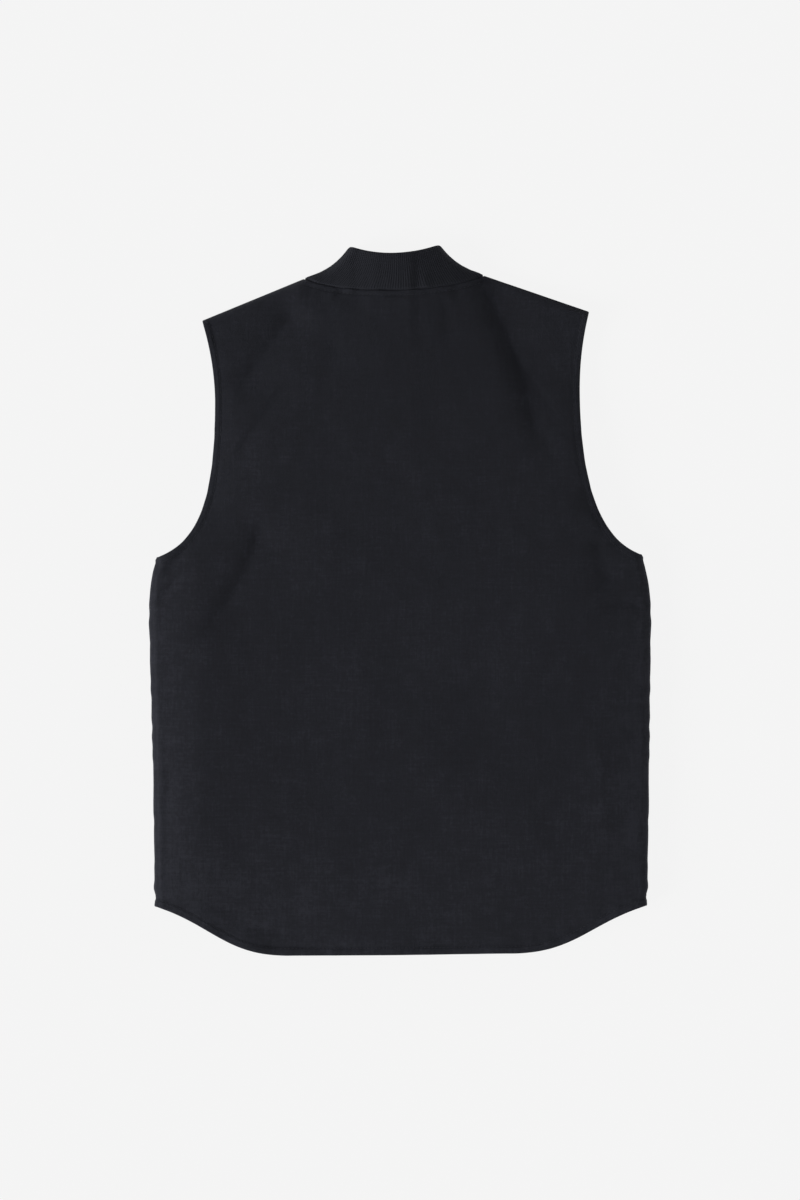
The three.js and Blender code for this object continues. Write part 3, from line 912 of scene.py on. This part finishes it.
def rib_collar():
    surface = collar_surface()
    height = FRONT_RIM_Y - FRONT_NECK_Y
    tuck = COLLAR_TUCK
    full = height + tuck.reach
    rows = (graded(full, COLLAR_STEP, NECK_STEPS, RIM_STEPS) * full - tuck.reach) / height
    u, shares, ribs, around = rib_columns(surface, rows)
    v = np.repeat(rows[:, None], len(shares), axis=1)
    share = np.repeat(shares[None], len(rows), axis=0)
    up = v * height
    tucked = 1 - smoothstep(up, tuck.low, tuck.up)
    middle = surface(u, v)
    middle = middle - grid_normals(middle) * (tuck.depth * tucked)[..., None]
    ridge = (0.5 + 0.5 * np.cos(2 * math.pi * share * ribs)) ** RIB.sharp
    relief = RIB.height * ridge * smoothstep(up, 0, RIB.ease)
    ends = np.minimum(share, 1 - share) * around
    rounding = rounded_edge(up + tuck.reach, EDGE_ROUND) * rounded_edge(height - up, KNIT_ROUND)
    rounding = rounding * rounded_edge(ends, EDGE_ROUND)
    thickness = (KNIT - RIB.height) * rounding * lerp(1, tuck.thin, tucked)
    cloth = np.stack([share * around, up, np.zeros_like(up)], axis=-1)
    wear_and_painted_light = KNIT_WEAR.rim * np.exp(-(((height - up) / KNIT_WEAR.reach) ** 2)) + KNIT_WEAR.ridge * ridge
    values = {"cloth": cloth, "wear_and_painted_light": wear_and_painted_light}
    return wall("collar_knit", middle, thickness, relief * rounding, relief * rounding, values)


# Faces of a closed tube through rings with the same number of points
def tube_faces(rings, sides):
    faces = []
    for ring in range(rings - 1):
        for side in range(sides):
            following = (side + 1) % sides
            low, high = ring * sides, (ring + 1) * sides
            faces.append([low + side, low + following, high + following, high + side])
    faces.append(list(range(sides))[::-1])
    faces.append([(rings - 1) * sides + side for side in range(sides)])
    return faces


# Sewing thread: stitches along a plan curve, laid on the cloth that a ray down or up meets
def cloth_tree(piece):
    points = [vertex.co.copy() for vertex in piece.data.vertices]
    faces = [tuple(face.vertices) for face in piece.data.polygons]
    return BVHTree.FromPolygons(points, faces)


def inset_line(curve, inset):
    line = curve(np.linspace(0, 1, CURVE_SAMPLES))
    tangent = np.gradient(line, axis=0)
    tangent /= np.linalg.norm(tangent, axis=1, keepdims=True)
    square = np.stack([-tangent[:, 1], tangent[:, 0]], axis=1)
    return line + inset * square


def stitch_places(line, trim):
    steps = np.linalg.norm(np.diff(line, axis=0), axis=1)
    length = np.concatenate([[0], np.cumsum(steps)])
    starts = np.arange(trim, length[-1] - trim - STITCH.length, STITCH.pitch)
    shares = np.array([ring[0] for ring in STITCH_RINGS])
    at = starts[:, None] + shares * STITCH.length
    return np.stack([np.interp(at, length, line[:, k]) for k in (0, 1)], axis=-1)


def land(tree, places, downward):
    side = 1 if downward else -1
    height = side * RAY_HEIGHT * METRE
    towards = Vector((0, 0, -side))
    points = np.full(places.shape[:2] + (3,), np.nan)
    normals = np.zeros(places.shape[:2] + (3,))
    for k in np.ndindex(*places.shape[:2]):
        x, y = places[k] * METRE
        hit, normal, _, _ = tree.ray_cast(Vector((x, y, height)), towards)
        if hit is not None:
            points[k] = np.array(hit) / METRE
            normals[k] = normal if normal.dot(towards) < 0 else -normal
    kept = ~np.isnan(points).any(axis=(1, 2))
    return points[kept], normals[kept]


def stitches(name, tree, rows, downward):
    centres, normals = [], []
    for curve, inset, trim in rows:
        hit, normal = land(tree, stitch_places(inset_line(curve, inset), trim), downward)
        centres.append(hit)
        normals.append(normal)
    centres = np.concatenate(centres)
    normals = np.concatenate(normals)
    tangent = np.gradient(centres, axis=1)
    tangent /= np.linalg.norm(tangent, axis=-1, keepdims=True)
    across = np.cross(tangent, normals)
    across /= np.linalg.norm(across, axis=-1, keepdims=True)
    radius = STITCH.radius * np.array([ring[1] for ring in STITCH_RINGS])
    lift = np.array([ring[2] for ring in STITCH_RINGS])
    centres = centres + normals * lift[:, None]
    angles = np.linspace(0, 2 * math.pi, STITCH.sides, endpoint=False)
    round_x = across[:, :, None] * np.cos(angles)[:, None]
    round_y = normals[:, :, None] * np.sin(angles)[:, None]
    points = centres[:, :, None] + (round_x + round_y) * radius[:, None, None]
    points[..., 2] = np.maximum(points[..., 2], 0)
    faces = tube_faces(len(STITCH_RINGS), STITCH.sides)
    size = len(STITCH_RINGS) * STITCH.sides
    every = [[corner + k * size for corner in face] for k in range(len(points)) for face in faces]
    flat = points.reshape(-1, 3)
    return mesh_object(name, flat, every, {"cloth": flat})


# Zip: two tapes with their rows of teeth, a slider and its pull, all under the front
def joined(name, shapes):
    points, faces = [], []
    for shape_points, shape_faces in shapes:
        start = sum(len(part) for part in points)
        points.append(shape_points)
        faces += [[corner + start for corner in face] for face in shape_faces]
    flat = np.concatenate(points)
    return mesh_object(name, flat, faces, {"cloth": flat})


# A closed shape through rings of points of the same number
def loft(rings):
    rings = np.asarray(rings, float)
    return rings.reshape(-1, 3), tube_faces(rings.shape[0], rings.shape[1])


# A rounded rectangle across X and Z at a place along Y
def rounded_ring(x, y, z, half_width, half_height, power=4.0, sides=20):
    angles = np.linspace(0, 2 * math.pi, sides, endpoint=False)
    c, s = np.cos(angles), np.sin(angles)
    ring_x = x + half_width * np.sign(c) * np.abs(c) ** (2 / power)
    ring_z = z - half_height * np.sign(s) * np.abs(s) ** (2 / power)
    return np.stack([ring_x, np.full_like(ring_x, y), ring_z], axis=1)


def zip_tape(sign, foot, top):
    inner, outer = ZIP.tape_gap / 2, ZIP.width / 2
    half_width = (outer - inner) / 2
    x = CENTRE_FRONT_X + sign * (inner + half_width)
    z = (ZIP.tape_low + ZIP.tape_high) / 2
    half_height = (ZIP.tape_high - ZIP.tape_low) / 2
    places = np.linspace(foot, top, ZIP.tape_rings)
    return loft([rounded_ring(x, y, z, half_width, half_height) for y in places])


def zip_tooth(sign, y):
    half = TOOTH.half_width
    x = CENTRE_FRONT_X + sign * (ZIP.teeth_width / 2 - half)
    z = (ZIP.teeth_low + ZIP.teeth_high) / 2
    tall = (ZIP.teeth_high - ZIP.teeth_low) / 2
    rings = [
        rounded_ring(x, y + along, z, half * wide, tall * high, TOOTH.power, TOOTH.sides)
        for along, wide, high in TOOTH_SECTIONS
    ]
    return loft(rings)


def zip_teeth(foot, top):
    count = int((top - foot - 2 * TOOTH.clear) / TOOTH.pitch)
    return [zip_tooth(1 if k % 2 else -1, foot + TOOTH.clear + k * TOOTH.pitch) for k in range(count)]


# The slider or its pull, down from a place on the zip
def zip_fitting(top, size, sections):
    middle = size.height / 2
    half = size.width / 2
    rings = [
        rounded_ring(CENTRE_FRONT_X, top - share * size.length, middle, half * wide, middle * high)
        for share, wide, high in reversed(sections)
    ]
    return loft(rings)


# Materials
def connect(tree, socket, value):
    if isinstance(value, bpy.types.NodeSocket):
        tree.links.new(value, socket)
    else:
        socket.default_value = value


def add_node(tree, kind, settings=None, **inputs):
    made = tree.nodes.new(kind)
    for key, value in (settings or {}).items():
        setattr(made, key, value)
    for key, value in inputs.items():
        connect(tree, made.inputs[key.replace("_", " ")], value)
    return made


def math_node(tree, operation, *values):
    made = tree.nodes.new("ShaderNodeMath")
    made.operation = operation
    for k, value in enumerate(values):
        connect(tree, made.inputs[k], value)
    return made.outputs[0]


def noise(tree, coordinates, stretch, detail, roughness=0.5):
    mapping = add_node(tree, "ShaderNodeMapping", Vector=coordinates, Scale=stretch)
    texture = add_node(
        tree,
        "ShaderNodeTexNoise",
        {"noise_dimensions": "3D"},
        Vector=mapping.outputs[0],
        Scale=1.0,
        Detail=detail,
        Roughness=roughness,
    )
    return texture.outputs["Fac"]


# The noise layers of a look by name, with an even one
def noise_layers(tree, coordinates, look):
    layers = {name: noise(tree, coordinates, *settings) for name, settings in look.noise.items()}
    layers["even"] = 1.0
    return layers


# A sine of one coordinate, with this period
def ripple(tree, coordinate, period):
    return math_node(tree, "SINE", math_node(tree, "MULTIPLY", coordinate, 2 * math.pi / period))


def new_material(name):
    material = bpy.data.materials.new(name)
    material.use_nodes = True
    tree = material.node_tree
    return material, tree, tree.nodes["Principled BSDF"]


def attribute(tree, name):
    return add_node(tree, "ShaderNodeAttribute", {"attribute_name": name})


# The sum of named layers, each times its weight
def blend(tree, layers, weights):
    total = None
    for name, weight in weights.items():
        part = math_node(tree, "MULTIPLY", layers[name], weight)
        total = part if total is None else math_node(tree, "ADD", total, part)
    return total


def tone_colour(tree, factor, stops):
    ramp = tree.nodes.new("ShaderNodeValToRGB")
    elements = ramp.color_ramp.elements
    elements[0].position, elements[0].color = stops[0][0], (*stops[0][1], 1)
    elements[1].position, elements[1].color = stops[-1][0], (*stops[-1][1], 1)
    for place, colour in stops[1:-1]:
        elements.new(place).color = (*colour, 1)
    tree.links.new(factor, ramp.inputs[0])
    return ramp.outputs[0]


def finish_cloth(tree, shader, look, layers, roughness):
    tone = math_node(tree, "SUBTRACT", blend(tree, layers, look.tone), look.tone_shift)
    tree.links.new(tone_colour(tree, tone, look.tones), shader.inputs["Base Color"])
    height = blend(tree, layers, look.bump)
    bump = add_node(tree, "ShaderNodeBump", Height=height, Strength=1.0, Distance=look.bump_depth * METRE)
    tree.links.new(bump.outputs[0], shader.inputs["Normal"])
    connect(tree, shader.inputs["Roughness"], roughness)
    shader.inputs["Specular IOR Level"].default_value = CLOTH_GLOSS.specular
    shader.inputs["Sheen Weight"].default_value = CLOTH_GLOSS.sheen
    shader.inputs["Sheen Roughness"].default_value = CLOTH_GLOSS.sheen_roughness
    shader.inputs["Sheen Tint"].default_value = CLOTH_GLOSS.sheen_tint


def canvas_material():
    look = CANVAS_LOOK
    material, tree, shader = new_material("washed_canvas")
    cloth = attribute(tree, "cloth").outputs["Vector"]
    split = add_node(tree, "ShaderNodeSeparateXYZ", Vector=cloth)
    layers = noise_layers(tree, cloth, look)
    # Paleness from wear and washed patches, with painted light and painted shade on the canvas pieces
    layers["wear_and_painted_light"] = attribute(tree, "wear_and_painted_light").outputs["Fac"]
    layers["yarn"] = blend(tree, layers, look.yarn)
    over = ripple(tree, split.outputs[0], look.weave.across)
    under = ripple(tree, split.outputs[1], look.weave.along)
    layers["weave"] = math_node(tree, "MULTIPLY", over, under)
    finish_cloth(tree, shader, look, layers, blend(tree, layers, look.roughness))
    return material


def knit_material():
    look = KNIT_LOOK
    material, tree, shader = new_material("rib_knit")
    cloth = attribute(tree, "cloth").outputs["Vector"]
    split = add_node(tree, "ShaderNodeSeparateXYZ", Vector=cloth)
    layers = noise_layers(tree, cloth, look)
    layers["wear_and_painted_light"] = attribute(tree, "wear_and_painted_light").outputs["Fac"]
    slant = math_node(tree, "ABSOLUTE", ripple(tree, split.outputs[0], 2 * RIB.pitch))
    raised = math_node(tree, "MULTIPLY", slant, look.loops.slant)
    level = math_node(tree, "ADD", split.outputs[1], raised)
    layers["loops"] = ripple(tree, level, look.loops.height)
    finish_cloth(tree, shader, look, layers, blend(tree, layers, look.roughness))
    return material


def thread_material():
    look = THREAD_LOOK
    material, tree, shader = new_material("sewing_thread")
    cloth = attribute(tree, "cloth").outputs["Vector"]
    split = add_node(tree, "ShaderNodeSeparateXYZ", Vector=cloth)
    layers = noise_layers(tree, cloth, look)
    lean = math_node(tree, "ADD", split.outputs[0], split.outputs[1])
    layers["twist"] = ripple(tree, lean, look.twist)
    finish_cloth(tree, shader, look, layers, look.roughness)
    return material


def zip_material(name, roughness):
    look = ZIP_LOOK
    material, tree, shader = new_material(name)
    cloth = attribute(tree, "cloth").outputs["Vector"]
    layers = noise_layers(tree, cloth, look)
    colour = tone_colour(tree, blend(tree, layers, look.tone), look.tones)
    tree.links.new(colour, shader.inputs["Base Color"])
    spread = blend(tree, layers, dict(smear=look.smear_roughness, even=roughness))
    tree.links.new(spread, shader.inputs["Roughness"])
    bump = add_node(
        tree,
        "ShaderNodeBump",
        Height=layers["grain"],
        Strength=look.bump_strength,
        Distance=look.bump_depth * METRE,
    )
    tree.links.new(bump.outputs[0], shader.inputs["Normal"])
    return material


# Making the pieces
def dress(piece, material):
    piece.data.materials.append(material)
    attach(piece, "root")
    return piece


canvas = canvas_material()
knit = knit_material()
thread = thread_material()
tape_finish = zip_material("zip_tape", ZIP_LOOK.tape_roughness)
metal_finish = zip_material("zip_teeth", ZIP_LOOK.metal_roughness)

back = dress(back_panel(), canvas)
fronts = {edge.sign: dress(front_panel(edge), canvas) for edge in EDGES}
collar = dress(rib_collar(), knit)

zip_foot = HEM_FOOT_Y + FRONT_HEM_LIFT
slider_top = FRONT_RIM_Y - SLIDER.below_top
slider_shape = zip_fitting(slider_top, SLIDER, SLIDER_SECTIONS)
pull_shape = zip_fitting(slider_top - SLIDER.length / 2, PULL, PULL_SECTIONS)
tapes = joined("zip_tapes", [zip_tape(sign, zip_foot, FRONT_RIM_Y) for sign in (-1, 1)])
teeth = joined("zip_teeth", zip_teeth(zip_foot, slider_top - SLIDER.length))
slider = joined("zip_slider", [slider_shape, pull_shape])
dress(tapes, tape_finish)
dress(teeth, metal_finish)
dress(slider, metal_finish)

# Stitch rows: a curve, how far the row is in from it, and how much of each end is bare
back_rows = [
    (armhole(LEFT, 0), -ARMHOLE_BAND.width, STITCH.trim),
    (armhole(RIGHT, 0), ARMHOLE_BAND.width, STITCH.trim),
    (back_hem(), HEM_BAND.width, STITCH.hem_trim),
    (back_neck(), -NECK_BAND.width, STITCH.trim),
]
back_thread = dress(stitches("back_stitches", cloth_tree(back), back_rows, True), thread)
for edge in EDGES:
    front_rows = [
        (armhole(edge, FRONT_ARMHOLE_SETBACK), edge.sign * ARMHOLE_BAND.width, STITCH.trim),
        (front_hem(edge), -edge.sign * HEM_BAND.width, STITCH.hem_trim),
    ]
    made = stitches(f"front_stitches_{edge.label}", cloth_tree(fronts[edge.sign]), front_rows, False)
    dress(made, thread)

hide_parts("back_panel")
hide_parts("front_panel_left")
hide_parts("front_panel_right")
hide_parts("rib_collar")
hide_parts("front_zip")


# Floor, backdrop, lights and camera
def glow_material(name, brightness, grey):
    material, _, shader = new_material(name)
    shader.inputs["Base Color"].default_value = (grey, grey, grey, 1)
    shader.inputs["Roughness"].default_value = 1.0
    shader.inputs["Specular IOR Level"].default_value = 0.0
    shader.inputs["Emission Color"].default_value = (1, 1, 1, 1)
    shader.inputs["Emission Strength"].default_value = brightness
    return material


def floor_piece():
    bpy.ops.mesh.primitive_plane_add(size=2 * FLOOR.half, location=(0, 0, -FLOOR.drop))
    piece = bpy.context.object
    piece.name = "floor"
    piece.data.materials.append(glow_material("pale_floor", FLOOR.glow, FLOOR.grey))


def backdrop_piece():
    radius = BACKDROP.radius
    bpy.ops.mesh.primitive_cylinder_add(vertices=BACKDROP.sides, radius=radius, depth=radius)
    piece = bpy.context.object
    piece.name = "backdrop"
    piece.data.materials.append(glow_material("pale_backdrop", BACKDROP.glow, BACKDROP.grey))
    for kind in ("diffuse", "glossy", "transmission", "shadow", "volume_scatter"):
        setattr(piece, f"visible_{kind}", False)


# A wide soft light from far away
def soft_light(name, light):
    data = bpy.data.lights.new(name, "SUN")
    data.angle = math.radians(light.spread)
    data.energy = light.strength
    lamp = bpy.data.objects.new(name, data)
    bpy.context.scene.collection.objects.link(lamp)
    lamp.location = light.place
    lamp.rotation_euler = (-Vector(light.place)).to_track_quat("-Z", "Y").to_euler()


def camera_piece():
    data = bpy.data.cameras.new("camera")
    data.lens = CAMERA.lens
    data.sensor_width = CAMERA.sensor
    data.clip_end = CAMERA.clip_end
    camera = bpy.data.objects.new("camera", data)
    bpy.context.scene.collection.objects.link(camera)
    away = CAMERA.view_height * CAMERA.lens / CAMERA.sensor
    camera.location = (0, 0, CAMERA.outline_z + away)
    bpy.context.scene.camera = camera


floor_piece()
backdrop_piece()
soft_light("key_light", KEY_LIGHT)
soft_light("fill_light", FILL_LIGHT)
camera_piece()

world = bpy.data.worlds.new("room")
world.use_nodes = True
background = world.node_tree.nodes["Background"]
background.inputs["Color"].default_value = (1, 1, 1, 1)
background.inputs["Strength"].default_value = ROOM_LIGHT
scene = bpy.context.scene
scene.world = world
scene.view_settings.view_transform = "Standard"
scene.view_settings.look = "None"
